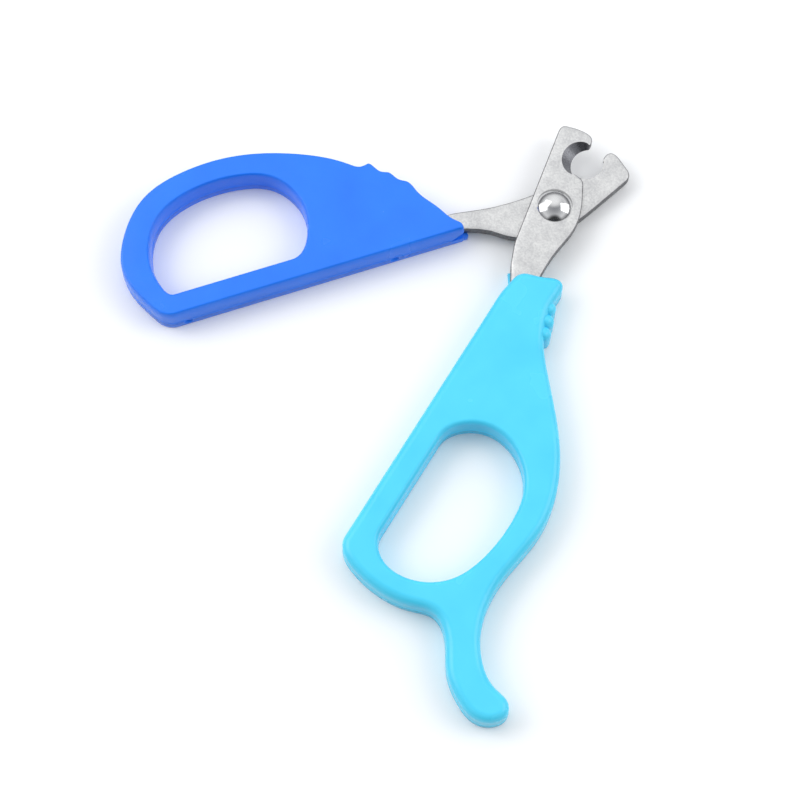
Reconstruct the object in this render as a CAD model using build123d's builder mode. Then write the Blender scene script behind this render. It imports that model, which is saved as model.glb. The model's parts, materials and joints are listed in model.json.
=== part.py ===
"""Scissor-type pet nail clipper, lying flat with its handles open.

Two stainless blades cross on a domed rivet and close over a round nail notch. Each blade runs back
as a tang inside its own moulded handle. Everything on one side is drawn in that side's own frame:
the origin on the rivet's axis, x back along the handle's straight inner edge, and y outwards, away
from the other handle. Heights are measured from the surface that the tool lies on.
"""

import os
from math import cos, radians, sin

from build123d import *

os.makedirs("parts", exist_ok=True)

# Driving dimensions, in mm and degrees
OPEN_ANGLE = 40.6  # between the two straight inner edges at rest, half each side of +Y
PIVOT_X = -11.38  # rivet axis, from the middle of the whole outline's box
PIVOT_Y = 33.24
HANDLE_T = 7.0
BLADE_T = 2.0
LOWER_BLADE_Z = 1.5
BLADE_GAP = 0.05  # running gap between the blades, and under the lower one
UPPER_BLADE_Z = LOWER_BLADE_Z + BLADE_T + BLADE_GAP
UPPER_BLADE_TOP = UPPER_BLADE_Z + BLADE_T

EDGE_INSET = 0.25  # each handle's straight edge, outwards of the rivet's axis
DARK_ROUND = 0.4  # rounding of the rims
LIGHT_ROUND = 0.8
LIP_T = 1.4  # lip under each tang, which runs on past the front of its handle

RIVET_R = 2.0
RIVET_HEAD_R = 3.9
RIVET_HEAD_H = 2.0  # a cap of a sphere on a thin rim
RIVET_RIM_H = 0.15
RIVET_CAP_H = RIVET_HEAD_H - RIVET_RIM_H
RIVET_SPHERE_R = (RIVET_HEAD_R**2 + RIVET_CAP_H**2) / (2.0 * RIVET_CAP_H)
RIVET_TAIL_R = 2.9
RIVET_TAIL_H = 0.7
RUNNING_CLEARANCE = 0.05  # radial, between the rivet and the lower blade
WASHER_R = 3.6
WASHER_T = 0.4
WASHER_TOP = LOWER_BLADE_Z - BLADE_GAP

PIT_PLACES = (36.8, 83.8)  # marks of the pins that held the dark tang in the mould
PIT_LENGTH = 2.2
PIT_HEIGHT = 1.6
PIT_DEPTH = 0.7
PIT_Z = 1.5
MOUTH_BACK = 23.9  # wedge-shaped mouth where the lower blade leaves the dark handle
MOUTH_FRONT = 19.0
MOUTH_BASE = 1.9
MOUTH_HEIGHT = 4.4
MOUTH_DEPTH = 1.3

RIB_R = 1.7  # thumb ribs on the light handle's outer edge
RIB_PLACES = ((21.8, 10.9), (24.6, 12.0), (27.4, 12.9))
RIB_ROUND = 0.6

CUT_MARGIN = 1.0  # how far a cutting tool starts outside what it cuts
EVEN = (1.0, 1.0)  # end tangents of a curve at their natural strength

# Outlines of the tangs, from the front of the grip round by the inner side and back outside
LOWER_TANG = (
    (15.0, -0.7),
    (17.1, 0.4),
    (20.0, 1.5),
    (24.0, 1.9),
    (85.6, 1.9),
    (85.6, 4.0),
    (48.0, 4.0),
    (38.0, 6.6),
    (21.4, 6.0),
    (15.0, 5.0),
)
UPPER_TANG = (
    (14.3, -2.3),
    (16.9, -1.3),
    (20.7, 0.8),
    (25.0, 2.3),
    (85.0, 2.3),
    (85.0, 4.6),
    (48.0, 4.6),
    (38.0, 7.0),
    (24.0, 6.6),
    (16.4, 5.8),
    (14.3, 5.7),
)


def side_plane(side, height):
    """A level plane in one side's frame: side 1 is the light right one, -1 the dark left one.

    The dark side's plane faces down, so what is extruded from it hangs below it.
    """
    lean = radians(90.0 + side * OPEN_ANGLE / 2.0)
    back = (-cos(lean), -sin(lean), 0.0)
    return Plane(origin=(PIVOT_X, PIVOT_Y, height), x_dir=back, z_dir=(0.0, 0.0, side))


def dark(height):
    return side_plane(-1, height)


def light(height):
    return side_plane(1, height)


def dark_wall(depth):
    """Upright plane along the dark handle's straight edge: x back, y up, facing outwards."""
    lean = radians(90.0 - OPEN_ANGLE / 2.0)
    outward = Vector(-sin(lean), cos(lean), 0.0)
    origin = Vector(PIVOT_X, PIVOT_Y, 0.0) + outward * depth
    return Plane(origin=origin, x_dir=(-cos(lean), -sin(lean), 0.0), z_dir=outward)


def level_edges(part, *heights):
    """The edges of a part that lie level at the given heights."""
    found = ShapeList()
    for height in heights:
        found += part.edges().filter_by_position(Axis.Z, height - 0.01, height + 0.01)
    return found


# Dark handle: a closed bow on the left, moulded round the lower blade's tang
with BuildPart() as dark_blue_handle:
    with BuildSketch(dark(HANDLE_T)):
        with BuildLine():
            inner = Line((21.2, EDGE_INSET), (86.2, EDGE_INSET))
            # Round the bow, over three thumb ribs, then down the slope to the tip
            Spline(
                inner @ 1,
                (89.0, 1.3),
                (91.2, 4.4),
                (93.3, 8.6),
                (94.4, 15.0),
                (92.0, 22.0),
                (85.2, 29.7),
                (75.0, 33.1),
                (64.0, 33.3),
                (49.0, 29.0),
                (39.6, 23.3),
                (37.4, 22.1),
                (35.8, 22.3),
                (33.6, 19.5),
                (32.1, 18.8),
                (30.4, 16.4),
                (29.0, 15.5),
                (27.4, 12.2),
                (24.4, 7.4),
                (21.8, 3.3),
                (20.5, 1.4),
                inner @ 0,
                tangents=[inner % 1, inner % 0],
                tangent_scalars=EVEN,
            )
        make_face()
    extrude(amount=HANDLE_T)
    with BuildSketch(dark(HANDLE_T)):
        with BuildLine():
            edge = Line((58.6, 5.5), (85.0, 5.5))
            Spline(
                edge @ 1,
                (87.2, 8.4),
                (87.7, 14.8),
                (84.0, 22.9),
                (76.0, 27.1),
                (65.0, 27.7),
                (57.5, 25.2),
                (53.2, 18.8),
                (53.3, 11.6),
                edge @ 0,
                tangents=[edge % 1, edge % 0],
                tangent_scalars=EVEN,
            )
        make_face()
    extrude(amount=HANDLE_T, mode=Mode.SUBTRACT)
    fillet(level_edges(dark_blue_handle, 0.0, HANDLE_T), DARK_ROUND)
    # The lip under the blade reaches a little past the front
    with BuildSketch(dark(LIP_T)):
        with BuildLine():
            Polyline((26.0, 1.2), (19.9, 0.4), (19.5, 1.0), (20.2, 3.4), (26.0, 9.0), close=True)
        make_face()
    extrude(amount=LIP_T)
    with BuildSketch(dark(LOWER_BLADE_Z + BLADE_T)):
        with BuildLine():
            Polyline(*LOWER_TANG, close=True)
        make_face()
    extrude(amount=BLADE_T, mode=Mode.SUBTRACT)
    with BuildSketch(dark_wall(-CUT_MARGIN)):
        with BuildLine():
            Polyline(
                (MOUTH_BACK, MOUTH_BASE),
                (MOUTH_FRONT, MOUTH_BASE),
                (MOUTH_FRONT, MOUTH_BASE + MOUTH_HEIGHT),
                close=True,
            )
        make_face()
    extrude(amount=CUT_MARGIN + MOUTH_DEPTH, mode=Mode.SUBTRACT)
    with BuildSketch(dark_wall(EDGE_INSET - CUT_MARGIN)):
        with Locations(*[(place, PIT_Z) for place in PIT_PLACES]):
            SlotOverall(PIT_LENGTH, PIT_HEIGHT)
    extrude(amount=CUT_MARGIN + PIT_DEPTH, mode=Mode.SUBTRACT)
dark_blue_handle.part.label = "dark_blue_handle"


# Light handle: a bow with a curled finger rest, moulded round the upper blade's tang
with BuildPart() as light_blue_handle:
    with BuildSketch(light(0.0)):
        with BuildLine():
            inner = Line((24.9, EDGE_INSET), (88.0, EDGE_INSET))
            # Round the bow and the curled finger rest, then forward to the blunt front
            Spline(
                inner @ 1,
                (90.6, 1.4),
                (92.8, 5.0),
                (94.2, 11.0),
                (93.6, 19.3),
                (92.5, 24.4),
                (95.3, 28.7),
                (101.3, 32.7),
                (105.4, 38.0),
                (106.8, 42.0),
                (105.4, 46.3),
                (102.6, 47.8),
                (100.3, 46.6),
                (99.2, 43.2),
                (95.6, 37.8),
                (89.0, 34.0),
                (80.3, 32.8),
                (66.3, 34.5),
                (53.3, 31.7),
                (43.8, 25.8),
                (34.4, 17.9),
                (29.4, 14.2),
                (24.6, 12.1),
                (20.8, 11.4),
                (17.6, 11.5),
                (15.5, 10.9),
                (15.0, 9.2),
                (15.9, 6.8),
                (16.8, 4.2),
                (17.6, 2.2),
                (18.9, 1.2),
                (21.3, 0.7),
                inner @ 0,
                tangents=[inner % 1, inner % 0],
                tangent_scalars=EVEN,
            )
        make_face()
    extrude(amount=HANDLE_T)
    with BuildSketch(light(0.0)):
        with BuildLine():
            edge = Line((59.6, 6.3), (83.2, 6.3))
            Spline(
                edge @ 1,
                (87.8, 9.1),
                (88.9, 16.0),
                (84.2, 23.9),
                (76.3, 27.3),
                (67.3, 28.2),
                (59.3, 26.5),
                (53.6, 20.8),
                (52.7, 12.2),
                edge @ 0,
                tangents=[edge % 1, edge % 0],
                tangent_scalars=EVEN,
            )
        make_face()
    extrude(amount=HANDLE_T, mode=Mode.SUBTRACT)
    fillet(level_edges(light_blue_handle, 0.0, HANDLE_T), LIGHT_ROUND)
    with BuildSketch(light(RIB_ROUND)):
        with Locations(*RIB_PLACES):
            Circle(RIB_R)
    extrude(amount=HANDLE_T - 2.0 * RIB_ROUND)
    # The lip under the blade reaches a little past the front
    with BuildSketch(light(0.0)):
        with BuildLine():
            Polyline((26.0, 1.6), (20.4, 0.4), (17.7, -1.4), (17.3, -0.9), (17.8, 3.0), (20.0, 6.0), close=True)
        make_face()
    extrude(amount=LIP_T)
    with BuildSketch(light(UPPER_BLADE_Z)):
        with BuildLine():
            Polyline(*UPPER_TANG, close=True)
        make_face()
    extrude(amount=BLADE_T, mode=Mode.SUBTRACT)
light_blue_handle.part.label = "light_blue_handle"


# Upper blade: stamped stainless plate, its notch ground on a slant to an edge on the mating face
with BuildPart() as upper_blade:
    with BuildSketch(light(UPPER_BLADE_Z)):
        with BuildLine():
            spine = Line((12.0, -3.1), (-16.3, -8.3))
            corner = Spline(
                spine @ 1,
                (-17.9, -8.0),
                (-18.5, -6.6),
                tangents=[spine % 1, (-0.2, 0.98)],
                tangent_scalars=EVEN,
            )
            end = ThreePointArc(corner @ 1, (-19.0, -4.4), (-19.0, -2.1))
            hook = Spline(
                end @ 1,
                (-18.3, -0.9),
                (-16.6, -0.6),
                tangents=[(0.1, 1.0), (0.9, -0.4)],
                tangent_scalars=EVEN,
            )
            notch = ThreePointArc(hook @ 1, (-12.8, -2.5), (-8.9, 0.2))
            lip = Spline(
                notch @ 1,
                (-8.5, 2.0),
                (-7.4, 3.0),
                tangents=[(0.15, 1.0), (0.9, 0.45)],
                tangent_scalars=EVEN,
            )
            flank = Spline(
                lip @ 1,
                (-3.2, 5.1),
                (2.5, 6.5),
                (9.0, 5.9),
                UPPER_TANG[-1],
                tangents=[(0.9, 0.45), (1.0, 0.03)],
                tangent_scalars=EVEN,
            )
            Polyline(flank @ 1, *reversed(UPPER_TANG[:-1]), spine @ 0)
        make_face()
        Circle(RIVET_R, mode=Mode.SUBTRACT)
    extrude(amount=BLADE_T)
    with BuildSketch(light(UPPER_BLADE_Z)):
        with BuildLine():
            arc = ThreePointArc((-16.4, -1.0), (-12.8, -2.5), (-9.0, 0.0))
            Polyline(arc @ 1, (-9.0, 4.0), (-16.4, 4.0), arc @ 0)
        make_face()
    with BuildSketch(light(UPPER_BLADE_TOP)):
        with BuildLine():
            arc = ThreePointArc((-16.1, -1.6), (-12.3, -4.75), (-8.8, -1.2))
            Polyline(arc @ 1, (-8.8, 4.0), (-16.1, 4.0), arc @ 0)
        make_face()
    loft(ruled=True, mode=Mode.SUBTRACT)
upper_blade.part.label = "upper_blade"


# Lower blade: the same plate the other way up, with its grind on the hidden underside
with BuildPart() as lower_blade:
    with BuildSketch(dark(LOWER_BLADE_Z + BLADE_T)):
        with BuildLine():
            spine = Line((-9.0, -2.3), (-16.9, 1.2))
            corner = Spline(
                spine @ 1,
                (-18.5, 2.3),
                (-18.8, 3.8),
                tangents=[spine % 1, (0.1, 1.0)],
                tangent_scalars=EVEN,
            )
            end = Line(corner @ 1, (-18.0, 7.1))
            hook = Spline(
                end @ 1,
                (-16.6, 9.1),
                (-14.5, 8.1),
                tangents=[end % 1, (0.6, -0.8)],
                tangent_scalars=EVEN,
            )
            notch = ThreePointArc(hook @ 1, (-11.2, 4.7), (-8.2, 5.4))
            flank = Spline(
                notch @ 1,
                (-6.6, 6.2),
                (-3.0, 6.0),
                (3.4, 4.8),
                (9.0, 4.6),
                LOWER_TANG[-1],
                tangents=[(0.85, 0.5), (1.0, 0.14)],
                tangent_scalars=EVEN,
            )
            tang = Polyline(flank @ 1, *reversed(LOWER_TANG[:-1]))
            Spline(
                tang @ 1,
                (12.8, -2.4),
                (8.0, -4.9),
                (2.0, -5.8),
                (-4.0, -4.3),
                spine @ 0,
                tangents=[(-0.8, -0.6), spine % 0],
                tangent_scalars=EVEN,
            )
        make_face()
        Circle(RIVET_R + RUNNING_CLEARANCE, mode=Mode.SUBTRACT)
    extrude(amount=BLADE_T)
    with BuildSketch(dark(LOWER_BLADE_Z + BLADE_T)):
        with BuildLine():
            arc = ThreePointArc((-14.5, 8.1), (-11.2, 4.7), (-8.2, 5.4))
            Polyline(arc @ 1, (-8.2, 11.0), (-14.5, 11.0), arc @ 0)
        make_face()
    with BuildSketch(dark(LOWER_BLADE_Z)):
        with BuildLine():
            arc = ThreePointArc((-15.2, 6.9), (-11.4, 2.5), (-7.8, 5.2))
            Polyline(arc @ 1, (-7.8, 11.0), (-15.2, 11.0), arc @ 0)
        make_face()
    loft(ruled=True, mode=Mode.SUBTRACT)
lower_blade.part.label = "lower_blade"


# Rivet: domed head above, shank through both blades, peened tail on a washer below
with BuildPart() as pivot_rivet:
    with BuildSketch(Plane(origin=(PIVOT_X, PIVOT_Y, 0.0), x_dir=(1, 0, 0), z_dir=(0, -1, 0))):
        with BuildLine():
            seat = WASHER_TOP - WASHER_T
            tail = seat - RIVET_TAIL_H
            core = Line((0.0, tail), (0.0, UPPER_BLADE_TOP + RIVET_HEAD_H))
            dome = RadiusArc(core @ 1, (RIVET_HEAD_R, UPPER_BLADE_TOP + RIVET_RIM_H), RIVET_SPHERE_R)
            shank = Polyline(
                dome @ 1,
                (RIVET_HEAD_R, UPPER_BLADE_TOP),
                (RIVET_R, UPPER_BLADE_TOP),
                (RIVET_R, seat),
                (RIVET_TAIL_R, seat),
                (RIVET_TAIL_R, seat - RIVET_TAIL_H / 2.0),
            )
            Spline(
                shank @ 1,
                core @ 0,
                tangents=[(-0.5, -0.85), (-1.0, 0.0)],
                tangent_scalars=EVEN,
            )
        make_face()
    revolve(axis=Axis((PIVOT_X, PIVOT_Y, 0.0), (0, 0, 1)))
pivot_rivet.part.label = "pivot_rivet"

with BuildPart() as rivet_washer:
    with BuildSketch(Plane.XY.offset(WASHER_TOP - WASHER_T)):
        with Locations((PIVOT_X, PIVOT_Y)):
            Circle(WASHER_R)
            Circle(RIVET_R, mode=Mode.SUBTRACT)
    extrude(amount=WASHER_T)
rivet_washer.part.label = "rivet_washer"

for piece in (dark_blue_handle, light_blue_handle, upper_blade, lower_blade, pivot_rivet, rivet_washer):
    export_step(piece.part, f"parts/{piece.part.label}.step")
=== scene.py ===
import json
from math import ceil, cos, pi, radians, sin

import bmesh
import bpy
import numpy as np
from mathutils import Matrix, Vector
from mathutils.geometry import delaunay_2d_cdt


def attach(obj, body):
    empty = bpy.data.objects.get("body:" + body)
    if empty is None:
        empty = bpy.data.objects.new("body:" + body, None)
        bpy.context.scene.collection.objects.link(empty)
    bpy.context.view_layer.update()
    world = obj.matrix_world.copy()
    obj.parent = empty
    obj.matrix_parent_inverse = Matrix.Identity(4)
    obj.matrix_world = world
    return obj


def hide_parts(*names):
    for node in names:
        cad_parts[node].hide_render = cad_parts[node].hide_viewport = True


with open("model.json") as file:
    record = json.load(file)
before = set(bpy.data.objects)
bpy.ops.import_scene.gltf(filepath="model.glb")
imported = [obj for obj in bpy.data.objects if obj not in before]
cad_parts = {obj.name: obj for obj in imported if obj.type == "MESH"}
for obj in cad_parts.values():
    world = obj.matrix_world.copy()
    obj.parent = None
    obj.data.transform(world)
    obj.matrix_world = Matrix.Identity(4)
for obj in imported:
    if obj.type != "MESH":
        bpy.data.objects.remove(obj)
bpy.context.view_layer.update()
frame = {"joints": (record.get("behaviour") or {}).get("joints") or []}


# ---------------------------------------------------------------------------------------------
# Table and light. The clipper lies on a pale matt table top inside a white light tent: a soft
# dome with a brighter panel on each side, and a dim band low down round the edge of the table.
# ---------------------------------------------------------------------------------------------

MM = 0.001


def paint(hex_colour):
    """An sRGB hex colour as the linear values that the shaders take."""
    parts = [int(hex_colour[i : i + 2], 16) / 255 for i in (1, 3, 5)]
    return (*[c / 12.92 if c <= 0.04045 else ((c + 0.055) / 1.055) ** 2.4 for c in parts], 1.0)


def add_node(tree, kind, settings=(), inputs=()):
    """Adds a node. An input's value is a number, a colour, or the socket that feeds it."""
    made = tree.nodes.new(kind)
    for name, value in dict(settings).items():
        setattr(made, name, value)
    for name, value in dict(inputs).items():
        if isinstance(value, bpy.types.NodeSocket):
            tree.links.new(value, made.inputs[name])
        else:
            made.inputs[name].default_value = value
    return made


def new_material(name):
    """A new material, and its node tree with nothing in it."""
    material = bpy.data.materials.new(name)
    material.use_nodes = True
    material.node_tree.nodes.clear()
    return material, material.node_tree


joint = frame["joints"][0]
pivot = Vector((joint["pos_m"][0], joint["pos_m"][1], 0.0))

CAMERA_AZIMUTH = 51.545  # degrees
CAMERA_ELEVATION = 70.0
CAMERA_DISTANCE = 0.429  # metres
VIEW_CENTRE = (12.91, -53.57, 0.0)  # mm from the rivet's axis
look_at = pivot + Vector(VIEW_CENTRE) * MM


def way_to(azimuth, elevation):
    """A direction, in degrees up and round the object from the camera's own side."""
    turn = radians(CAMERA_AZIMUTH) + radians(azimuth)
    rise = radians(elevation)
    return Vector((sin(turn) * cos(rise), -cos(turn) * cos(rise), sin(rise)))


back = way_to(0.0, CAMERA_ELEVATION)
camera = bpy.data.objects.new("camera", bpy.data.cameras.new("camera"))
camera.data.lens = 90.0
camera.data.sensor_width = 36.0
camera.data.clip_start = 0.01
camera.location = look_at + back * CAMERA_DISTANCE
camera.rotation_mode = "QUATERNION"
camera.rotation_quaternion = (-back).to_track_quat("-Z", "Y")
bpy.context.scene.collection.objects.link(camera)
bpy.context.scene.camera = camera
bpy.context.scene.view_settings.view_transform = "Standard"

TABLE_R = 6.0  # metres
table_mesh = bpy.data.meshes.new("table_top")
table_bm = bmesh.new()
bmesh.ops.create_circle(table_bm, cap_ends=True, radius=TABLE_R, segments=64)
table_bm.to_mesh(table_mesh)
table_bm.free()
table_top = bpy.data.objects.new("table_top", table_mesh)
bpy.context.scene.collection.objects.link(table_top)

# matt white laminate: it scatters the light evenly and shows only a soft shadow
table_paint, tree = new_material("matt_white_laminate")
TABLE_GRAIN_MM = 40.0  # slow change of tone across the laminate
coords = add_node(tree, "ShaderNodeTexCoord")
cloud = add_node(
    tree,
    "ShaderNodeTexNoise",
    {},
    {"Vector": coords.outputs["Object"], "Scale": 1000.0 / TABLE_GRAIN_MM, "Detail": 2.0},
)
tone = add_node(tree, "ShaderNodeValToRGB", {}, {"Fac": cloud.outputs["Fac"]})
tone.color_ramp.elements[0].color = paint("#F3F4F5")
tone.color_ramp.elements[1].color = paint("#F7F7F7")
cover = add_node(
    tree,
    "ShaderNodeBsdfPrincipled",
    {},
    {"Base Color": tone.outputs["Color"], "Roughness": 0.85, "Specular IOR Level": 0.2},
)
add_node(tree, "ShaderNodeOutputMaterial", {}, {"Surface": cover.outputs["BSDF"]})
table_top.data.materials.append(table_paint)

world = bpy.data.worlds.new("light_tent")
bpy.context.scene.world = world
world.use_nodes = True
tree = world.node_tree
tree.nodes.clear()
way = add_node(tree, "ShaderNodeTexCoord")
split = add_node(tree, "ShaderNodeSeparateXYZ", {}, {"Vector": way.outputs["Generated"]})
height = add_node(
    tree,
    "ShaderNodeMapRange",
    {},
    {"Value": split.outputs["Z"], "From Min": -0.05, "From Max": 1.0},
)
tent = add_node(tree, "ShaderNodeValToRGB", {}, {"Fac": height.outputs["Result"]})
tent.color_ramp.elements[0].color = paint("#8A8B8E")
tent.color_ramp.elements[1].color = paint("#7C7E82")
low_band = tent.color_ramp.elements.new(0.2)
low_band.color = paint("#66676A")
shoulder = tent.color_ramp.elements.new(0.5)
shoulder.color = paint("#C6C7C9")


def patch_of_tent(colour, azimuth, elevation, edge, middle, tone):
    """The tent's colour with a soft round patch of another tone in it, seen that way.

    The patch fades out at edge and is full inside middle, both in degrees from its own centre.
    """
    toward = add_node(
        tree,
        "ShaderNodeVectorMath",
        {"operation": "DOT_PRODUCT"},
        {0: way.outputs["Generated"], 1: way_to(azimuth, elevation)},
    )
    share = add_node(
        tree,
        "ShaderNodeMapRange",
        {"interpolation_type": "SMOOTHSTEP"},
        {
            "Value": toward.outputs["Value"],
            "From Min": cos(radians(edge)),
            "From Max": cos(radians(middle)),
        },
    )
    mixed = add_node(
        tree,
        "ShaderNodeMix",
        {"data_type": "RGBA"},
        {0: share.outputs["Result"], 6: colour, 7: paint(tone)},
    )
    return mixed.outputs[2]


# the opening that the camera looks in through, and the light in the roof beyond the object
tent_colour = patch_of_tent(
    tent.outputs["Color"], azimuth=0.0, elevation=14.0, edge=40.0, middle=20.0, tone="#2E2F31"
)
tent_colour = patch_of_tent(
    tent_colour, azimuth=180.0, elevation=60.0, edge=42.0, middle=6.0, tone="#DCDDDE"
)
TENT_STRENGTH = 1.86
glow = add_node(
    tree, "ShaderNodeBackground", {}, {"Color": tent_colour, "Strength": TENT_STRENGTH}
)
add_node(tree, "ShaderNodeOutputWorld", {}, {"Surface": glow.outputs["Background"]})


def soft_panel(name, azimuth, elevation, distance, width, tall, watts):
    """A softbox in that direction, turned towards the object, with its sizes in metres."""
    way_out = way_to(azimuth, elevation)
    lamp = bpy.data.lights.new(name, "AREA")
    lamp.shape = "RECTANGLE"
    lamp.size = width
    lamp.size_y = tall
    lamp.energy = watts
    panel = bpy.data.objects.new(name, lamp)
    panel.location = look_at + way_out * distance
    panel.rotation_mode = "QUATERNION"
    panel.rotation_quaternion = (-way_out).to_track_quat("-Z", "Y")
    bpy.context.scene.collection.objects.link(panel)


soft_panel("left_panel", -100.0, 34.0, distance=0.9, width=0.6, tall=0.75, watts=3.0)
soft_panel("right_panel", 95.0, 34.0, distance=0.9, width=0.6, tall=0.75, watts=2.9)
soft_panel("key_panel", -125.0, 50.0, distance=1.1, width=0.6, tall=0.6, watts=1.5)


# ---------------------------------------------------------------------------------------------
# Dark blue handle. An injection moulding in ABS, shot round the lower blade's tang: a closed bow
# with a finger hole, three thumb ribs, a parting line round its wall and a lip under the blade.
# ---------------------------------------------------------------------------------------------

DARK, LIGHT = -1, 1  # the tool's two sides
OPEN_ANGLE = 40.6  # degrees between the two handles' straight inner edges
HANDLE_T = 7.0
EDGE_INSET = 0.25
EVEN_STEP = 0.4  # between the points of an outline


def curve(points, start, end, step=EVEN_STEP):
    """Points along a smooth curve through the given ones, with those directions at its ends."""
    p = np.array(points, float)
    h = np.linalg.norm(np.diff(p, axis=0), axis=1)
    n = len(p)
    grid, right = np.zeros((n, n)), np.zeros((n, 2))
    grid[0, 0] = grid[-1, -1] = 1.0
    right[0] = np.array(start, float) / np.linalg.norm(start)
    right[-1] = np.array(end, float) / np.linalg.norm(end)
    for i in range(1, n - 1):
        grid[i, i - 1 : i + 2] = h[i], 2.0 * (h[i - 1] + h[i]), h[i - 1]
        right[i] = 3.0 * (
            h[i] * (p[i] - p[i - 1]) / h[i - 1] + h[i - 1] * (p[i + 1] - p[i]) / h[i]
        )
    slope = np.linalg.solve(grid, right)
    found = []
    for i in range(n - 1):
        for t in np.arange(0.0, 1.0, 1.0 / ceil(h[i] / step)):
            found.append(
                (2 * t**3 - 3 * t**2 + 1) * p[i]
                + (t**3 - 2 * t**2 + t) * h[i] * slope[i]
                + (3 * t**2 - 2 * t**3) * p[i + 1]
                + (t**3 - t**2) * h[i] * slope[i + 1]
            )
    return found


def straight(a, b, step=EVEN_STEP):
    """Points along a straight run, without its last one."""
    a, b = np.array(a, float), np.array(b, float)
    count = ceil(np.linalg.norm(b - a) / step)
    return [a + (b - a) * i / count for i in range(count)]


def bow(inner_a, inner_b, *outside):
    """A closed outline: a straight run from a to b, then a curve through the rest, back to a."""
    way = np.array(inner_b, float) - np.array(inner_a, float)
    return straight(inner_a, inner_b) + curve([inner_b, *outside, inner_a], way, way)


def to_tool(side, points):
    """Points of one side's own frame as points of the whole tool. The frame runs in mm back from
    the rivet, on the line that the handle's straight inner edge follows, and out from that line."""
    lean = radians(90.0 + side * OPEN_ANGLE / 2.0)
    along = np.array((-cos(lean), -sin(lean)))
    outward = side * np.array((sin(lean), -cos(lean)))
    p = np.array(points, float)
    return np.array(pivot)[:2] / MM + p[:, :1] * along + p[:, 1:2] * outward


def runs_clockwise(outline):
    """Whether a closed outline's points go round it clockwise."""
    x, y = outline.T
    return np.sum(x * np.roll(y, -1) - np.roll(x, -1) * y) <= 0


def on_side(side, points):
    """A closed outline in one side's own frame as one of the whole tool, counterclockwise."""
    placed = to_tool(side, points)
    return placed[::-1] if runs_clockwise(placed) else placed


def inwards(outline):
    """The unit normal at each point of a counterclockwise outline, pointing into the shape."""
    along = np.roll(outline, -1, axis=0) - np.roll(outline, 1, axis=0)
    along /= np.linalg.norm(along, axis=1)[:, None]
    return np.stack((-along[:, 1], along[:, 0]), axis=1)


def gap_to(points, outline):
    """How far each point is from the nearest point of the outline."""
    return np.sqrt(((points[:, None, :] - outline[None, :, :]) ** 2).sum(axis=2)).min(axis=1)


INSET_TRIES = 16
OWN_SHARE = 0.96  # a point moved in is nearer to another side below this share of its move
SAFE_SHARE = 0.85  # and it then stops at this share of the last move that was clear
EASE = 0.4  # how fast the inset may change along an outline
EASE_ROUNDS = 40


def crest_limit(outline, reach):
    """The deepest inset, up to reach, that each point can take before it nears another side."""
    normal = inwards(outline)
    room = np.full(len(outline), reach)
    for k in range(INSET_TRIES, 0, -1):
        depth = reach * k / INSET_TRIES
        gap = gap_to(outline + normal * depth, outline)
        smaller = SAFE_SHARE * reach * (k - 1) / INSET_TRIES
        room = np.where(gap < OWN_SHARE * depth, smaller, room)
    step = np.linalg.norm(outline - np.roll(outline, 1, axis=0), axis=1)
    for _ in range(EASE_ROUNDS):
        room = np.minimum(room, np.roll(room, 1) + EASE * step)
        room = np.minimum(room, np.roll(room, -1) + EASE * np.roll(step, -1))
    return room


def at_height(outline, z):
    """A level ring of points from an outline."""
    return np.column_stack((outline, np.full(len(outline), z)))


def rings_of(outline, profile):
    """Rings of points up a wall. The profile holds pairs of inset and height, lowest first."""
    normal = inwards(outline)
    reach = max(inset for inset, _ in profile)
    room = crest_limit(outline, reach) / reach if reach > 0 else np.ones(len(outline))
    return [at_height(outline + normal * (room * inset)[:, None], z) for inset, z in profile]


def inside(points, outline):
    """Whether each point lies inside the outline."""
    x, y = points[:, :1], points[:, 1:2]
    x0, y0 = outline.T
    x1, y1 = np.roll(outline, -1, axis=0).T
    crosses = (y0 > y) != (y1 > y)
    with np.errstate(divide="ignore", invalid="ignore"):
        at = x0 + (y - y0) * (x1 - x0) / (y1 - y0)
    return (np.sum(crosses & (x < at), axis=1) % 2).astype(bool)


GRID_ROW = 0.866  # an even triangle's height as a share of its side
GRID_CLEAR = 0.55  # grid points nearer a loop than this share of the spacing are left out
INSIDE_ONLY = 1  # the triangulation makes no triangles outside the outer loop
SAME_POINT = 1e-6
FACE_GRID = 1.4  # between the inner vertices of a moulding's broad faces


def cap(verts, loops, spacing, lift):
    """Triangles that close a level opening between loops of vertex numbers, the outer one first.

    It adds inner vertices on an even grid, and lift gives their height above the loops from how
    far each is from the nearest loop.
    """
    flat = [np.array([verts[i][:2] for i in loop]) for loop in loops]
    level = verts[loops[0][0]][2]
    low, high = flat[0].min(axis=0), flat[0].max(axis=0)
    rows = np.arange(low[1], high[1], spacing * GRID_ROW)
    grid = np.array(
        [
            (x, y)
            for k, y in enumerate(rows)
            for x in np.arange(low[0] + (k % 2) * spacing / 2.0, high[0], spacing)
        ]
    )
    keep = inside(grid, flat[0])
    for inner in flat[1:]:
        keep &= ~inside(grid, inner)
    grid = grid[keep]
    rim = np.concatenate(flat)
    gap = gap_to(grid, rim)
    clear = gap > GRID_CLEAR * spacing
    grid, gap = grid[clear], gap[clear]
    numbers = [i for loop in loops for i in loop] + list(range(len(verts), len(verts) + len(grid)))
    for (x, y), d in zip(grid, gap):
        verts.append((x, y, level + lift(d)))
    edges, first = [], 0
    for loop in loops:
        count = len(loop)
        edges += [(first + i, first + (i + 1) % count) for i in range(count)]
        first += count
    points = np.concatenate((rim, grid))
    _, _, triangles, sources, _, _ = delaunay_2d_cdt(
        [Vector(p) for p in points], edges, [], INSIDE_ONLY, SAME_POINT
    )
    named = [tuple(numbers[sources[i][0]] for i in t) for t in triangles]
    holes = [set(loop) for loop in loops[1:]]
    return [t for t in named if not any(hole.issuperset(t) for hole in holes)]


def level_face(d):
    """The rise of a face that is flat all over."""
    return 0.0


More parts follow.
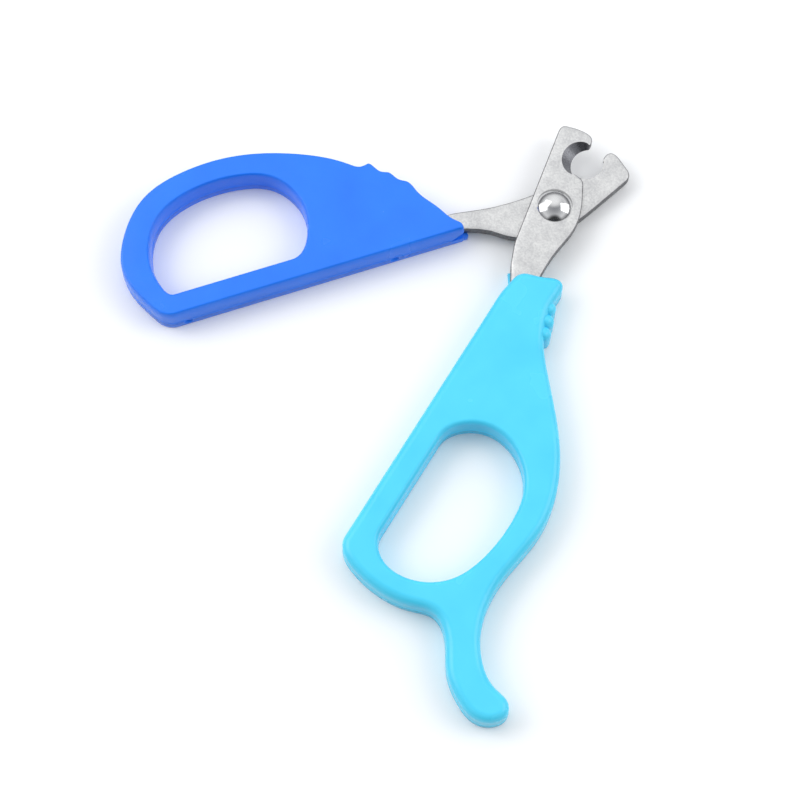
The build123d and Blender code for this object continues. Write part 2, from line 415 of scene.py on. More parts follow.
def walled_solid(outer_rings, hole_rings=(), spacing=FACE_GRID, top_lift=level_face):
    """Vertices and faces of a closed solid from rings of points, lowest ring first, in mm."""
    verts, faces, ends = [], [], []
    for rings, flip in ((outer_rings, False), (hole_rings, True)):
        if not len(rings):
            continue
        loops = []
        for ring in rings:
            loops.append(list(range(len(verts), len(verts) + len(ring))))
            verts += [tuple(p) for p in ring]
        for low, high in zip(loops, loops[1:]):
            for i in range(len(low)):
                j = (i + 1) % len(low)
                quad = (low[i], low[j], high[j], high[i])
                faces.append(quad[::-1] if flip else quad)
        ends.append((loops[0], loops[-1]))
    faces += cap(verts, [top for _, top in ends], spacing, top_lift)
    faces += [t[::-1] for t in cap(verts, [base for base, _ in ends], spacing, level_face)]
    return verts, faces


SHARP = 32.0  # degrees: faces that meet at less than this are shaded as one surface


def make_piece(name, verts, faces, material=None):
    """A mesh object from points in mm."""
    mesh = bpy.data.meshes.new(name)
    mesh.from_pydata([tuple(c * MM for c in v) for v in verts], [], faces)
    mesh.validate()
    bm = bmesh.new()
    bm.from_mesh(mesh)
    bmesh.ops.recalc_face_normals(bm, faces=bm.faces)
    bm.to_mesh(mesh)
    bm.free()
    mesh.shade_smooth()
    mesh.set_sharp_from_angle(angle=radians(SHARP))
    piece = bpy.data.objects.new(name, mesh)
    bpy.context.scene.collection.objects.link(piece)
    if material:
        mesh.materials.append(material)
    return piece


def join_or_cut(piece, operation, *tools):
    """Adds the tools to a piece, or cuts them out of it, one by one, and empties their meshes."""
    for tool in tools:
        step = piece.modifiers.new("cut", "BOOLEAN")
        step.operation = operation
        step.solver = "EXACT"
        step.object = tool
        bpy.context.view_layer.update()
        cut_piece = piece.evaluated_get(bpy.context.evaluated_depsgraph_get())
        mesh = bpy.data.meshes.new_from_object(cut_piece)
        piece.modifiers.clear()
        old = piece.data
        piece.data = mesh
        bpy.data.meshes.remove(old)
        bpy.data.meshes.remove(tool.data)
        mesh.shade_smooth()
        mesh.set_sharp_from_angle(angle=radians(SHARP))


def along_corners(corners, step=EVEN_STEP):
    """Points along the straight runs from corner to corner, without the last one."""
    found = []
    for a, b in zip(corners, corners[1:]):
        found += straight(a, b, step)
    return found


ROUND_MIDDLE = 0.3  # a small rounding's middle, as a share of its radius in from both faces


def prism(name, side, corners, low, high, round_r=0.0):
    """A block with that outline in one side's frame, between two heights, as a tool or a lip."""
    outline = on_side(side, corners)
    profile = [(0.0, low), (0.0, high)]
    if round_r:
        outline = on_side(side, along_corners([*corners, corners[0]]))
        part_way = ROUND_MIDDLE * round_r
        profile = [(round_r, low), (part_way, low + part_way), (0.0, low + round_r)]
        profile += [(0.0, high - round_r), (part_way, high - part_way), (round_r, high)]
    verts, faces, n = [], [], len(outline)
    for ring in rings_of(outline, profile):
        verts += [tuple(p) for p in ring]
    for k in range(len(profile) - 1):
        for i in range(n):
            j = (i + 1) % n
            faces.append((k * n + i, k * n + j, (k + 1) * n + j, (k + 1) * n + i))
    top = (len(profile) - 1) * n
    faces += [tuple(range(n))[::-1], tuple(range(top, top + n))]
    return make_piece(name, verts, faces)


DARK_RIM = 0.65  # the rounded rim, across
DARK_RIM_DROP = 2.2  # and down
DARK_BASE_RIM = 0.25
BASE_STEPS = 4
RIM_STEPS = 9
HOLD = 0.14  # the broad face stays level this far in from its rim
CROWN = 0.06  # how far the broad face rises from its rim to its middle
CROWN_W = 3.0
PARTING_Z = 2.2  # where the two halves of the mould met
PARTING_PROUD = 0.06  # how far the line stands out from the wall
PARTING_W = 0.14  # and half its width
PARTING_FLAT = 0.4  # share of its width that is flat
PARTING_FOOT = 0.8  # share of its height that is gone by its two edges
PARTING_FADE = 1.0  # the wall is plain again this far above it


def moulded_profile(rim, drop, base_rim):
    """Inset and height up the wall of a moulding: rounded base, parting line, draft, rim."""
    lean = PARTING_PROUD
    profile = []
    for i in range(BASE_STEPS):
        a = pi / 2.0 * i / BASE_STEPS
        profile.append((lean + base_rim * (1.0 - sin(a)), base_rim * (1.0 - cos(a))))
    profile.append((lean, base_rim))
    profile.append((lean * PARTING_FOOT, PARTING_Z - PARTING_W))
    profile.append((0.0, PARTING_Z - PARTING_W * PARTING_FLAT))
    profile.append((0.0, PARTING_Z + PARTING_W * PARTING_FLAT))
    profile.append((lean * PARTING_FOOT, PARTING_Z + PARTING_W))
    profile.append((lean, PARTING_Z + PARTING_FADE))
    for i in range(RIM_STEPS + 1):
        a = pi / 2.0 * i / RIM_STEPS
        profile.append((lean + rim * (1.0 - cos(a)), HANDLE_T - drop * (1.0 - sin(a)) - CROWN))
    return [*profile, (lean + rim + HOLD, HANDLE_T - CROWN)]


def crowned(d):
    """The broad face's rise at a distance from its rim."""
    share = min(d / CROWN_W, 1.0)
    return CROWN * share * share * (3.0 - 2.0 * share)


dark_outline = on_side(
    DARK,
    bow(
        (21.2, EDGE_INSET),
        (86.2, EDGE_INSET),
        # round the bow
        (89.0, 1.3),
        (91.2, 4.4),
        (93.3, 8.6),
        (94.4, 15.0),
        (92.0, 22.0),
        (85.2, 29.7),
        (75.0, 33.1),
        (64.0, 33.3),
        (49.0, 29.0),
        (39.6, 23.3),
        # over three thumb ribs
        (37.4, 22.1),
        (35.8, 22.3),
        (33.6, 19.5),
        (32.1, 18.8),
        (30.4, 16.4),
        (29.0, 15.5),
        (27.4, 12.2),
        # down the slope to the tip
        (24.4, 7.4),
        (21.8, 3.3),
        (20.5, 1.4),
    ),
)
dark_hole = on_side(
    DARK,
    bow(
        (58.6, 5.5),
        (85.0, 5.5),
        (87.2, 8.4),
        (87.7, 14.8),
        (84.0, 22.9),
        (76.0, 27.1),
        (65.0, 27.7),
        (57.5, 25.2),
        (53.2, 18.8),
        (53.3, 11.6),
    ),
)
# the lower blade's tang, which the moulding is shot round
LOWER_TANG = (
    (15.0, -0.7),
    (17.1, 0.4),
    (20.0, 1.5),
    (24.0, 1.9),
    (85.6, 1.9),
    (85.6, 4.0),
    (48.0, 4.0),
    (38.0, 6.6),
    (21.4, 6.0),
    (15.0, 5.0),
)


def rings_of_hole(outline, profile):
    """The same wall for a hole, whose insets widen it."""
    normal = -inwards(outline)
    return [at_height(outline + normal * inset, z) for inset, z in profile]


dark_profile = moulded_profile(DARK_RIM, DARK_RIM_DROP, DARK_BASE_RIM)
dark_blue_handle = make_piece(
    "dark_blue_moulding",
    *walled_solid(
        rings_of(dark_outline, dark_profile),
        rings_of_hole(dark_hole, dark_profile),
        top_lift=crowned,
    ),
)
LOWER_BLADE_Z = 1.5
BLADE_T = 2.0
dark_pocket = prism("pocket", DARK, LOWER_TANG, LOWER_BLADE_Z, LOWER_BLADE_Z + BLADE_T)


def wall_tool(name, side, near, far, depth_from, depth_to):
    """A block cut into the straight wall: near and far are its ends, along the wall and up."""
    verts = []
    for depth, end in ((depth_from, near), (depth_to, far)):
        for x, z in end:
            verts.append((*to_tool(side, [(x, depth)])[0], z))
    n = len(near)
    faces = [tuple(range(n)), tuple(range(2 * n - 1, n - 1, -1))]
    faces += [(i, (i + 1) % n, n + (i + 1) % n, n + i) for i in range(n)]
    return make_piece(name, verts, faces)


MOUTH = [(23.9, 1.9), (19.0, 1.9), (19.0, 6.3)]  # a wedge that opens where the blade comes out
MOUTH_CLEAR = 1.0  # the cut starts this far outside the wall
MOUTH_DEPTH = 1.3
mouth = wall_tool("mouth", DARK, MOUTH, MOUTH, -MOUTH_CLEAR, MOUTH_DEPTH)
PIT_PLACES = (36.8, 83.8)  # marks of the pins that held the tang in the mould
PIT_DEPTH = 0.95
PIT_SIDES = 24


def oval(along, up, half_long, half_high):
    """An oval's points on the wall, as places along it and heights up it."""
    turns = [2.0 * pi * i / PIT_SIDES for i in range(PIT_SIDES)]
    return [(along + half_long * cos(a), up + half_high * sin(a)) for a in turns]


pits = []
for place in PIT_PLACES:
    pit_rim = oval(place, up=1.45, half_long=1.2, half_high=1.05)
    pit_floor = oval(place, up=1.85, half_long=0.7, half_high=0.35)
    pits.append(wall_tool("pit", DARK, pit_rim, pit_floor, 0.0, PIT_DEPTH))
join_or_cut(dark_blue_handle, "DIFFERENCE", dark_pocket, mouth, *pits)
LIP_T = 1.4
LIP_FLOOR = 0.02  # just above the handle's base, so that the two faces don't coincide
LIP_ROUND = 0.2
dark_lip = prism(
    "lip",
    DARK,
    [(26.0, 1.2), (19.9, 0.4), (19.5, 1.0), (20.2, 3.4), (24.0, 7.0), (26.0, 7.0)],
    LIP_FLOOR,
    LIP_T,
    LIP_ROUND,
)
join_or_cut(dark_blue_handle, "UNION", dark_lip)


GRAIN_MM = 0.22  # the fine grain that the mould's steel leaves
FLOW_MM = 9.0  # slow changes of tone where the plastic flowed
ABS_GLOSS = (0.21, 0.28)  # roughness, from the smoother flow to the rougher


def moulded_abs(name, deep, body):
    """ABS, moulded: an even, slightly waxy gloss with a very fine grain, whose slow changes of
    tone hardly show except in a reflection."""
    material, tree = new_material(name)
    coords = add_node(tree, "ShaderNodeTexCoord")
    flow = add_node(
        tree,
        "ShaderNodeTexNoise",
        {},
        {"Vector": coords.outputs["Object"], "Scale": 1000.0 / FLOW_MM, "Detail": 2.0},
    )
    grain = add_node(
        tree,
        "ShaderNodeTexNoise",
        {},
        {"Vector": coords.outputs["Object"], "Scale": 1000.0 / GRAIN_MM, "Detail": 2.0},
    )
    tone = add_node(tree, "ShaderNodeValToRGB", {}, {"Fac": flow.outputs["Fac"]})
    tone.color_ramp.elements[0].position = 0.25
    tone.color_ramp.elements[0].color = paint(deep)
    tone.color_ramp.elements[1].position = 0.7
    tone.color_ramp.elements[1].color = paint(body)
    gloss = add_node(
        tree,
        "ShaderNodeMapRange",
        {},
        {
            "Value": flow.outputs["Fac"],
            "From Min": 0.3,
            "From Max": 0.7,
            "To Min": ABS_GLOSS[0],
            "To Max": ABS_GLOSS[1],
        },
    )
    skin = add_node(
        tree,
        "ShaderNodeBump",
        {},
        {"Height": grain.outputs["Fac"], "Strength": 0.06, "Distance": 0.00002},
    )
    sink = add_node(
        tree,
        "ShaderNodeBump",
        {},
        {
            "Height": flow.outputs["Fac"],
            "Strength": 0.12,
            "Distance": 0.0001,
            "Normal": skin.outputs["Normal"],
        },
    )
    plastic = add_node(
        tree,
        "ShaderNodeBsdfPrincipled",
        {},
        {
            "Base Color": tone.outputs["Color"],
            "Roughness": gloss.outputs["Result"],
            "Normal": sink.outputs["Normal"],
            "IOR": 1.52,
            "Specular IOR Level": 0.35,
            "Subsurface Weight": 0.03,
            "Subsurface Scale": 0.001,
            "Subsurface Radius": (0.4, 0.8, 1.0),
        },
    )
    add_node(tree, "ShaderNodeOutputMaterial", {}, {"Surface": plastic.outputs["BSDF"]})
    return material


dark_blue_handle.data.materials.clear()
dark_blue_handle.data.materials.append(moulded_abs("dark_blue_abs", "#1B72E8", "#1F79F0"))
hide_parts("dark_blue_handle")
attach(dark_blue_handle, "dark_side")


# ---------------------------------------------------------------------------------------------
# Light blue handle. The other moulding, in the same ABS, shot round the upper blade's tang. Its
# rims are softer, it has three short ribs for the finger and a curled rest behind the bow.
# ---------------------------------------------------------------------------------------------

LIGHT_RIM = 1.8
LIGHT_RIM_DROP = 1.9
LIGHT_BASE_RIM = 0.4
LIGHT_HOLE_RIM = 1.0  # the finger hole's rim is tighter
LIGHT_HOLE_DROP = 1.3
light_outline = on_side(
    LIGHT,
    bow(
        (24.9, EDGE_INSET),
        (88.0, EDGE_INSET),
        # round the bow
        (90.6, 1.4),
        (92.8, 5.0),
        (94.2, 11.0),
        (93.6, 19.3),
        (92.5, 24.4),
        # out along the curled rest and back
        (95.3, 28.7),
        (101.3, 32.7),
        (105.4, 38.0),
        (106.8, 42.0),
        (105.4, 46.3),
        (102.6, 47.8),
        (100.3, 46.6),
        (99.2, 43.2),
        (95.6, 37.8),
        (89.0, 34.0),
        # forward along the outer side
        (80.3, 32.8),
        (66.3, 34.5),
        (53.3, 31.7),
        (43.8, 25.8),
        (34.4, 17.9),
        (29.4, 14.2),
        (24.6, 12.1),
        (20.8, 11.4),
        # round the blunt front
        (17.6, 11.5),
        (15.5, 10.9),
        (15.0, 9.2),
        (15.9, 6.8),
        (16.8, 4.2),
        (17.6, 2.2),
        (18.9, 1.2),
        (21.3, 0.7),
    ),
)
light_hole = on_side(
    LIGHT,
    bow(
        (59.6, 6.3),
        (83.2, 6.3),
        (87.8, 9.1),
        (88.9, 16.0),
        (84.2, 23.9),
        (76.3, 27.3),
        (67.3, 28.2),
        (59.3, 26.5),
        (53.6, 20.8),
        (52.7, 12.2),
    ),
)
# the upper blade's tang, which the moulding is shot round
UPPER_TANG = (
    (14.3, -2.3),
    (16.9, -1.3),
    (20.7, 0.8),
    (25.0, 2.3),
    (85.0, 2.3),
    (85.0, 4.6),
    (48.0, 4.6),
    (38.0, 7.0),
    (24.0, 6.6),
    (16.4, 5.8),
    (14.3, 5.7),
)
BLADE_GAP = 0.05  # between the two blades, which touch
UPPER_BLADE_Z = LOWER_BLADE_Z + BLADE_T + BLADE_GAP
RIB_PLACES = ((21.8, 10.9), (24.6, 12.0), (27.4, 12.9))
RIB_R = 1.7
RIB_TOP = 6.3
RIB_FOOT = 0.05
RIB_ROUND = 0.3  # the rounding of its foot


def turned(name, profile, centre, count, material=None):
    """A piece turned on a lathe, from pairs of radius and height in mm round its section."""
    verts, faces, loops = [], [], []
    for r, z in profile:
        if r < SAME_POINT:
            loops.append([len(verts)])
            verts.append((centre[0], centre[1], z))
            continue
        loops.append(list(range(len(verts), len(verts) + count)))
        for i in range(count):
            a = 2.0 * pi * i / count
            verts.append((centre[0] + r * cos(a), centre[1] + r * sin(a), z))
    closed = len(loops[0]) > 1
    pairs = list(zip(loops, loops[1:] + loops[:1])) if closed else list(zip(loops, loops[1:]))
    for low, high in pairs:
        for i in range(count):
            j = (i + 1) % count
            if len(low) == 1:
                faces.append((low[0], high[j], high[i]))
            elif len(high) == 1:
                faces.append((low[i], low[j], high[0]))
            else:
                faces.append((low[i], low[j], high[j], high[i]))
    return make_piece(name, verts, faces, material)


light_profile = moulded_profile(LIGHT_RIM, LIGHT_RIM_DROP, LIGHT_BASE_RIM)
light_hole_profile = moulded_profile(LIGHT_HOLE_RIM, LIGHT_HOLE_DROP, LIGHT_BASE_RIM)
light_blue_handle = make_piece(
    "light_blue_moulding",
    *walled_solid(
        rings_of(light_outline, light_profile),
        rings_of_hole(light_hole, light_hole_profile),
        top_lift=crowned,
    ),
)
rib_profile = [(0.0, RIB_FOOT), (RIB_R - RIB_ROUND, RIB_FOOT), (RIB_R, RIB_FOOT + RIB_ROUND)]
for i in range(RIM_STEPS):
    a = pi / 2.0 * i / RIM_STEPS
    rib_profile.append((RIB_R * cos(a), RIB_TOP + RIB_R * (sin(a) - 1.0)))
rib_profile.append((0.0, RIB_TOP))
ribs = [turned("rib", rib_profile, centre, count=48) for centre in to_tool(LIGHT, RIB_PLACES)]
light_pocket = prism("pocket", LIGHT, UPPER_TANG, UPPER_BLADE_Z, UPPER_BLADE_Z + BLADE_T)
join_or_cut(light_blue_handle, "DIFFERENCE", light_pocket)
light_lip = prism(
    "lip",
    LIGHT,
    [(26.0, 1.6), (20.4, 0.4), (17.7, -1.4), (17.3, -0.9), (17.8, 3.0), (20.0, 6.0), (26.0, 6.0)],
    LIP_FLOOR,
    LIP_T,
    LIP_ROUND,
)
join_or_cut(light_blue_handle, "UNION", light_lip, *ribs)
light_blue_handle.data.materials.clear()
light_blue_handle.data.materials.append(moulded_abs("light_blue_abs", "#46C8EA", "#4ECFF0"))
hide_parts("light_blue_handle")
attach(light_blue_handle, "light_side")


# ---------------------------------------------------------------------------------------------
# Lower blade. Stainless steel plate, stamped and tumbled satin, with its tang inside the dark
# handle. Its top face is the one it cuts with, so its notch is ground from underneath.
# ---------------------------------------------------------------------------------------------

BLADE_STEP = 0.2
PLATE_GRID = 1.5  # between the inner vertices of a blade's faces
DIE_ROLL = 0.2  # the rounding that stamping and tumbling leave along an edge
ROLL_ENDS = 0.3  # where the notch's bevel is this wide, no rounding is left


def arc(a, b, c, step=BLADE_STEP):
    """Points of the circle's arc from a to c through b, without the last one."""
    (ax, ay), (bx, by), (cx, cy) = a, b, c
    d = 2.0 * (ax * (by - cy) + bx * (cy - ay) + cx * (ay - by))
    sa, sb, sc = ax * ax + ay * ay, bx * bx + by * by, cx * cx + cy * cy
    ox = (sa * (by - cy) + sb * (cy - ay) + sc * (ay - by)) / d
    oy = (sa * (cx - bx) + sb * (ax - cx) + sc * (bx - ax)) / d
    r = np.hypot(ax - ox, ay - oy)
    a0, a1, a2 = (np.arctan2(y - oy, x - ox) for x, y in (a, b, c))
    if (a1 - a0) % (2 * pi) < (a2 - a0) % (2 * pi):
        sweep = (a2 - a0) % (2 * pi)
    else:
        sweep = -((a0 - a2) % (2 * pi))
    count = ceil(abs(sweep) * r / step)
    turns = [a0 + sweep * i / count for i in range(count)]
    return [np.array((ox + r * cos(t), oy + r * sin(t))) for t in turns]


def blade_rings(outline, low, high, grind, grind_down=False):
    """Rings up a blade's wall, rounded along both edges. grind is how far its slanted cutting
    bevel reaches into the plate at each point, on the upper face or on the lower one."""
    normal = inwards(outline)
    room = crest_limit(outline, DIE_ROLL) / DIE_ROLL
    plain = np.maximum(1.0 - grind / ROLL_ENDS, 0.0)
    part_way = ROUND_MIDDLE * DIE_ROLL
    rings = []
    for inset, z in (
        (DIE_ROLL, low),
        (part_way, low + part_way),
        (0.0, low + DIE_ROLL),
        (0.0, (low + high) / 2.0),
        (0.0, high - DIE_ROLL),
        (part_way, high - part_way),
        (DIE_ROLL, high),
    ):
        from_edge = high - z if grind_down else z - low
        depth = inset * room * plain + grind * (from_edge / (high - low))
        rings.append(at_height(outline + normal * depth[:, None], z))
    return rings


lower_spine = straight((-9.0, -2.3), (-16.9, 1.2), BLADE_STEP)
lower_spine_way = (-7.9, 3.5)
lower_notch = arc((-14.5, 8.1), (-11.2, 4.7), (-8.2, 5.4))
lower_parts = [
    lower_spine,
    curve([(-16.9, 1.2), (-18.5, 2.3), (-18.8, 3.8)], lower_spine_way, (0.1, 1.0), BLADE_STEP),
    straight((-18.8, 3.8), (-18.0, 7.1), BLADE_STEP),
    curve([(-18.0, 7.1), (-16.6, 9.1), (-14.5, 8.1)], (0.8, 3.3), (0.6, -0.8), BLADE_STEP),
    lower_notch,
    curve(
        [(-8.2, 5.4), (-6.6, 6.2), (-3.0, 6.0), (3.4, 4.8), (9.0, 4.6), LOWER_TANG[-1]],
        (0.85, 0.5),
        (1.0, 0.14),
        BLADE_STEP,
    ),
    along_corners(LOWER_TANG[::-1], BLADE_STEP),
    curve(
        [LOWER_TANG[0], (12.8, -2.4), (8.0, -4.9), (2.0, -5.8), (-4.0, -4.3), (-9.0, -2.3)],
        (-0.8, -0.6),
        lower_spine_way,
        BLADE_STEP,
    ),
]


GRIND_EASE = 0.6  # the bevel deepens quickly from each end of the notch


def with_grind(parts, notch, depth, side):
    """The closed outline, and how far the notch's bevel reaches in at each of its points."""
    points, reach = [], []
    for part in parts:
        for i, p in enumerate(part):
            points.append(p)
            share = sin(pi * (i + 0.5) / len(part)) if part is notch else 0.0
            reach.append(depth * share**GRIND_EASE if share > 0 else 0.0)
    placed, reach = to_tool(side, points), np.array(reach)
    if runs_clockwise(placed):
        return placed[::-1], reach[::-1]
    return placed, reach


PIT_MM = 0.45  # the fine pits of tumbled steel
CLOUD_MM = 3.2  # and its fainter patches
PIT_SHARE = 0.62  # how much of the tone comes from the pits


def tumbled_steel(name, light_tone, dark_tone):
    """Stainless steel, stamped and tumbled: a fine pitted satin with faint cloudy patches."""
    material, tree = new_material(name)
    coords = add_node(tree, "ShaderNodeTexCoord")
    cloud = add_node(
        tree,
        "ShaderNodeTexNoise",
        {},
        {"Vector": coords.outputs["Object"], "Scale": 1000.0 / CLOUD_MM, "Detail": 4.0},
    )
    pitting = add_node(
        tree,
        "ShaderNodeTexNoise",
        {},
        {
            "Vector": coords.outputs["Object"],
            "Scale": 1000.0 / PIT_MM,
            "Detail": 3.0,
            "Roughness": 0.65,
        },
    )
    mottle = add_node(
        tree,
        "ShaderNodeMix",
        {"data_type": "FLOAT"},
        {0: PIT_SHARE, 2: cloud.outputs["Fac"], 3: pitting.outputs["Fac"]},
    )
    tone = add_node(tree, "ShaderNodeValToRGB", {}, {"Fac": mottle.outputs[0]})
    tone.color_ramp.elements[0].position = 0.36
    tone.color_ramp.elements[0].color = paint(dark_tone)
    tone.color_ramp.elements[1].position = 0.64
    tone.color_ramp.elements[1].color = paint(light_tone)
    satin = add_node(
        tree,
        "ShaderNodeMapRange",
        {},
        {
            "Value": mottle.outputs[0],
            "From Min": 0.35,
            "From Max": 0.65,
            "To Min": 0.42,
            "To Max": 0.3,
        },
    )
    pits_bump = add_node(
        tree,
        "ShaderNodeBump",
        {},
        {"Height": pitting.outputs["Fac"], "Strength": 0.25, "Distance": 0.00003},
    )
    steel = add_node(
        tree,
        "ShaderNodeBsdfPrincipled",
        {},
        {
            "Base Color": tone.outputs["Color"],
            "Metallic": 1.0,
            "Roughness": satin.outputs["Result"],
            "Normal": pits_bump.outputs["Normal"],
        },
    )
    add_node(tree, "ShaderNodeOutputMaterial", {}, {"Surface": steel.outputs["BSDF"]})
    return material


# The same steel, darker, for the blades' walls: painted shade that stands in for the dark the walls
# show.
painted_shade_wall_steel = tumbled_steel("stainless_wall_painted_shade", "#7C7C7E", "#59595B")


LINE_MM = 0.12  # between grinding lines: coarser than the real grit's, so that they show
LINE_LONG = 9.0  # how many times as long as wide the lines are


def ground_and_shaded_steel():
    """The same steel ground, with fine lines that run the way the wheel went; its darker tone is
    painted shade for the dark that the bevel reflects.
    """
    material, tree = new_material("ground_stainless_painted_shade")
    coords = add_node(tree, "ShaderNodeTexCoord")
    stretch = add_node(
        tree,
        "ShaderNodeMapping",
        {},
        {"Vector": coords.outputs["Object"], "Scale": (1.0, 1.0, 1.0 / LINE_LONG)},
    )
    lines = add_node(
        tree,
        "ShaderNodeTexNoise",
        {},
        {"Vector": stretch.outputs["Vector"], "Scale": 1000.0 / LINE_MM, "Detail": 2.0},
    )
    # the ramp's dark tones are painted shade for the dark the bevel reflects; the streaks follow
    # the grinding lines
    tone = add_node(tree, "ShaderNodeValToRGB", {}, {"Fac": lines.outputs["Fac"]})
    tone.color_ramp.elements[0].position = 0.3
    tone.color_ramp.elements[0].color = paint("#55565A")
    tone.color_ramp.elements[1].position = 0.7
    tone.color_ramp.elements[1].color = paint("#8B8C90")
    furrows = add_node(
        tree,
        "ShaderNodeBump",
        {},
        {"Height": lines.outputs["Fac"], "Strength": 0.35, "Distance": 0.00003},
    )
    steel = add_node(
        tree,
        "ShaderNodeBsdfPrincipled",
        {},
        {
            "Base Color": tone.outputs["Color"],
            "Metallic": 1.0,
            "Roughness": 0.34,
            "Normal": furrows.outputs["Normal"],
        },
    )
    add_node(tree, "ShaderNodeOutputMaterial", {}, {"Surface": steel.outputs["BSDF"]})
    return material


# the notch's ground steel: real grinding lines, darkened with painted shade
ground_shaded_notch_steel = ground_and_shaded_steel()
FLAT_FACE = 0.93  # a face is broad above this upward share of its normal
WALL_FACE = 0.2  # and wall below this one
GRIND_CLEAR = 0.02  # a ground face's middle is this far inside the plate's thickness


def shade_walls_and_grind_notch(blade, side, notch, depth, low, high):
    """Gives a blade's walls the darker steel of painted shade, and the slants in its notch the
    ground steel, which is darkened with painted shade too.
    """
    blade.data.materials.append(painted_shade_wall_steel)
    blade.data.materials.append(ground_shaded_notch_steel)
    around = to_tool(side, notch)
    for face in blade.data.polygons:
        if abs(face.normal.z) > FLAT_FACE:
            continue
        in_notch = gap_to(np.array([face.center[:2]]) / MM, around)[0] < depth
        between = low + GRIND_CLEAR < face.center.z / MM < high - GRIND_CLEAR
        slants = abs(face.normal.z) > WALL_FACE and between and len(face.vertices) == 4
        # walls take the darker steel of painted shade; notch slants take the ground steel, whose
        # darker tone is also painted shade
        face.material_index = 2 if slants and in_notch else 1


LOWER_GRIND = 2.0
lower_outline, lower_reach = with_grind(lower_parts, lower_notch, LOWER_GRIND, DARK)
blade_steel = tumbled_steel("tumbled_stainless_steel", "#D1D1D0", "#B6B6B7")
lower_blade = make_piece(
    "lower_blade_plate",
    *walled_solid(
        blade_rings(
            lower_outline, LOWER_BLADE_Z, LOWER_BLADE_Z + BLADE_T, lower_reach, grind_down=True
        ),
        spacing=PLATE_GRID,
    ),
    material=blade_steel,
)
shade_walls_and_grind_notch(
    lower_blade, DARK, lower_notch, LOWER_GRIND, LOWER_BLADE_Z, LOWER_BLADE_Z + BLADE_T
)
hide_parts("lower_blade")
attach(lower_blade, "dark_side")


# ---------------------------------------------------------------------------------------------
# Upper blade. The same stainless plate, lying on the lower one, with its tang inside the light
# handle. Its notch is ground on a slant from above down to a keen edge on its underside.
# ---------------------------------------------------------------------------------------------

UPPER_GRIND = 2.3
upper_notch = arc((-16.6, -0.6), (-12.8, -2.5), (-8.9, 0.2))
upper_spine_way = (-28.3, -5.2)
upper_parts = [
    straight((12.0, -3.1), (-16.3, -8.3), BLADE_STEP),
    curve([(-16.3, -8.3), (-17.9, -8.0), (-18.5, -6.6)], upper_spine_way, (-0.2, 0.98), BLADE_STEP),
    arc((-18.5, -6.6), (-19.0, -4.4), (-19.0, -2.1)),
    curve([(-19.0, -2.1), (-18.3, -0.9), (-16.6, -0.6)], (0.1, 1.0), (0.9, -0.4), BLADE_STEP),
    upper_notch,
    curve([(-8.9, 0.2), (-8.5, 2.0), (-7.4, 3.0)], (0.15, 1.0), (0.9, 0.45), BLADE_STEP),
    curve(
        [(-7.4, 3.0), (-3.2, 5.1), (2.5, 6.5), (9.0, 5.9), UPPER_TANG[-1]],
        (0.9, 0.45),
        (1.0, 0.03),
        BLADE_STEP,
    ),
    along_corners(UPPER_TANG[::-1], BLADE_STEP),
    straight(UPPER_TANG[0], (12.0, -3.1), BLADE_STEP),
]
upper_outline, upper_reach = with_grind(upper_parts, upper_notch, UPPER_GRIND, LIGHT)
upper_blade = make_piece(
    "upper_blade_plate",
    *walled_solid(
        blade_rings(upper_outline, UPPER_BLADE_Z, UPPER_BLADE_Z + BLADE_T, upper_reach),
        spacing=PLATE_GRID,
    ),
    material=blade_steel,
)
shade_walls_and_grind_notch(
    upper_blade, LIGHT, upper_notch, UPPER_GRIND, UPPER_BLADE_Z, UPPER_BLADE_Z + BLADE_T
)
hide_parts("upper_blade")
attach(upper_blade, "light_side")


# ---------------------------------------------------------------------------------------------
# Pivot rivet. One stainless rivet, turned and polished bright, with a domed head above the upper
# blade and its tail peened over a washer below the lower one.
# ---------------------------------------------------------------------------------------------

RIVET_R = 2.0
RIVET_HEAD_R = 3.9
RIVET_HEAD_H = 2.0
RIVET_RIM_H = 0.15
RIVET_TAIL_R = 2.9
RIVET_TAIL_H = 0.7
RIVET_EDGE = 0.05  # the small bevel under the head's rim
WASHER_TOP = LOWER_BLADE_Z - BLADE_GAP
WASHER_T = 0.4
head_base = UPPER_BLADE_Z + BLADE_T
seat = WASHER_TOP - WASHER_T
cap_h = RIVET_HEAD_H - RIVET_RIM_H
sphere_r = (RIVET_HEAD_R**2 + cap_h**2) / (2.0 * cap_h)  # the head is a cap of this sphere
half_angle = np.arcsin(RIVET_HEAD_R / sphere_r)
DOME_STEPS = 40
dome = []
for i in range(DOME_STEPS + 1):
    a = half_angle * i / DOME_STEPS
    dome.append((sphere_r * sin(a), head_base + RIVET_HEAD_H - sphere_r * (1.0 - cos(a))))
tail = curve(
    [(RIVET_TAIL_R, seat - RIVET_TAIL_H / 2.0), (0.0, seat - RIVET_TAIL_H)],
    (-0.5, -0.85),
    (-1.0, 0.0),
    BLADE_STEP,
)
rivet_profile = [
    *dome,
    (RIVET_HEAD_R, head_base + RIVET_EDGE),
    (RIVET_HEAD_R - RIVET_EDGE, head_base),
    (RIVET_R, head_base),
    (RIVET_R, seat),
    (RIVET_TAIL_R, seat),
    *[tuple(p) for p in tail],
    (0.0, seat - RIVET_TAIL_H),
]

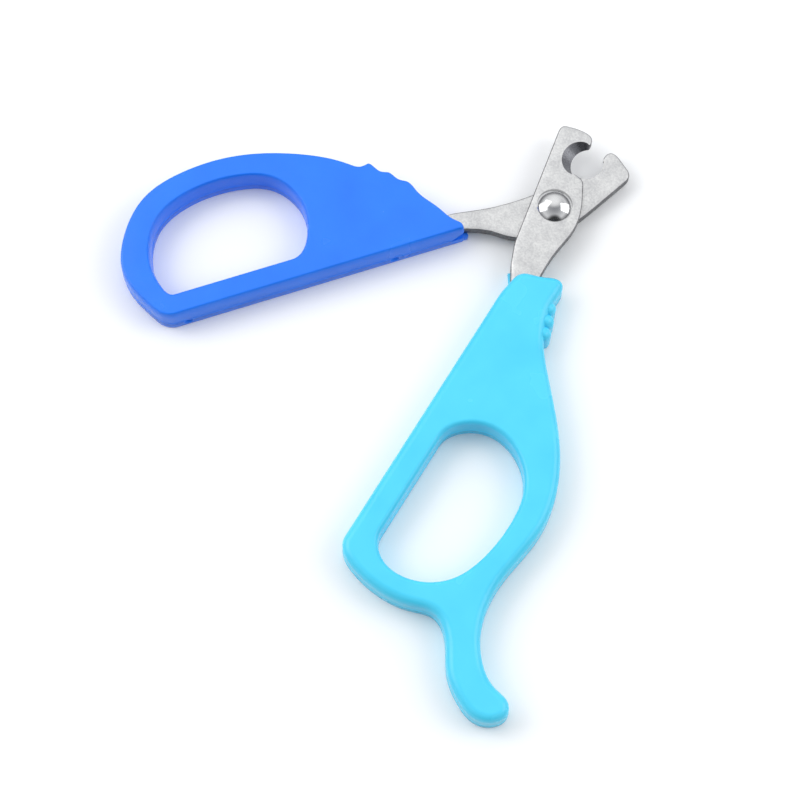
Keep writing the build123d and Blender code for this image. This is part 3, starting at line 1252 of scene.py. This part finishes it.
# polished stainless steel: a clear reflection, faintly uneven where the buff went over it
polished, tree = new_material("polished_stainless_steel")
coords = add_node(tree, "ShaderNodeTexCoord")
BUFF_MM = 2.2
buff = add_node(
    tree,
    "ShaderNodeTexNoise",
    {},
    {"Vector": coords.outputs["Object"], "Scale": 1000.0 / BUFF_MM, "Detail": 3.0},
)
haze = add_node(
    tree,
    "ShaderNodeMapRange",
    {},
    {
        "Value": buff.outputs["Fac"],
        "From Min": 0.3,
        "From Max": 0.7,
        "To Min": 0.1,
        "To Max": 0.17,
    },
)
shade = add_node(tree, "ShaderNodeValToRGB", {}, {"Fac": buff.outputs["Fac"]})
shade.color_ramp.elements[0].color = paint("#C2C2C2")
shade.color_ramp.elements[1].color = paint("#D0D0D0")
ripple = add_node(
    tree,
    "ShaderNodeBump",
    {},
    {"Height": buff.outputs["Fac"], "Strength": 0.2, "Distance": 0.0001},
)
mirror = add_node(
    tree,
    "ShaderNodeBsdfPrincipled",
    {},
    {
        "Base Color": shade.outputs["Color"],
        "Metallic": 1.0,
        "Roughness": haze.outputs["Result"],
        "Normal": ripple.outputs["Normal"],
    },
)
add_node(tree, "ShaderNodeOutputMaterial", {}, {"Surface": mirror.outputs["BSDF"]})
axis_mm = (pivot.x / MM, pivot.y / MM)
pivot_rivet = turned("domed_rivet", rivet_profile, axis_mm, count=128, material=polished)
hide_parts("pivot_rivet")
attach(pivot_rivet, "light_side")


# ---------------------------------------------------------------------------------------------
# Washer. A thin plain ring under the lower blade that the rivet's tail is peened against.
# ---------------------------------------------------------------------------------------------

WASHER_R = 3.6
WASHER_ROUND = 0.08
washer_profile = [
    (RIVET_R, seat),
    (WASHER_R - WASHER_ROUND, seat),
    (WASHER_R, seat + WASHER_ROUND),
    (WASHER_R, WASHER_TOP - WASHER_ROUND),
    (WASHER_R - WASHER_ROUND, WASHER_TOP),
    (RIVET_R, WASHER_TOP),
]
# plain stainless steel: the blades' satin, a little darker
washer_steel = tumbled_steel("plain_washer_steel", "#B8B8B8", "#A8A8A8")
rivet_washer = turned("plain_washer", washer_profile, axis_mm, count=96, material=washer_steel)
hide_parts("rivet_washer")
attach(rivet_washer, "light_side")
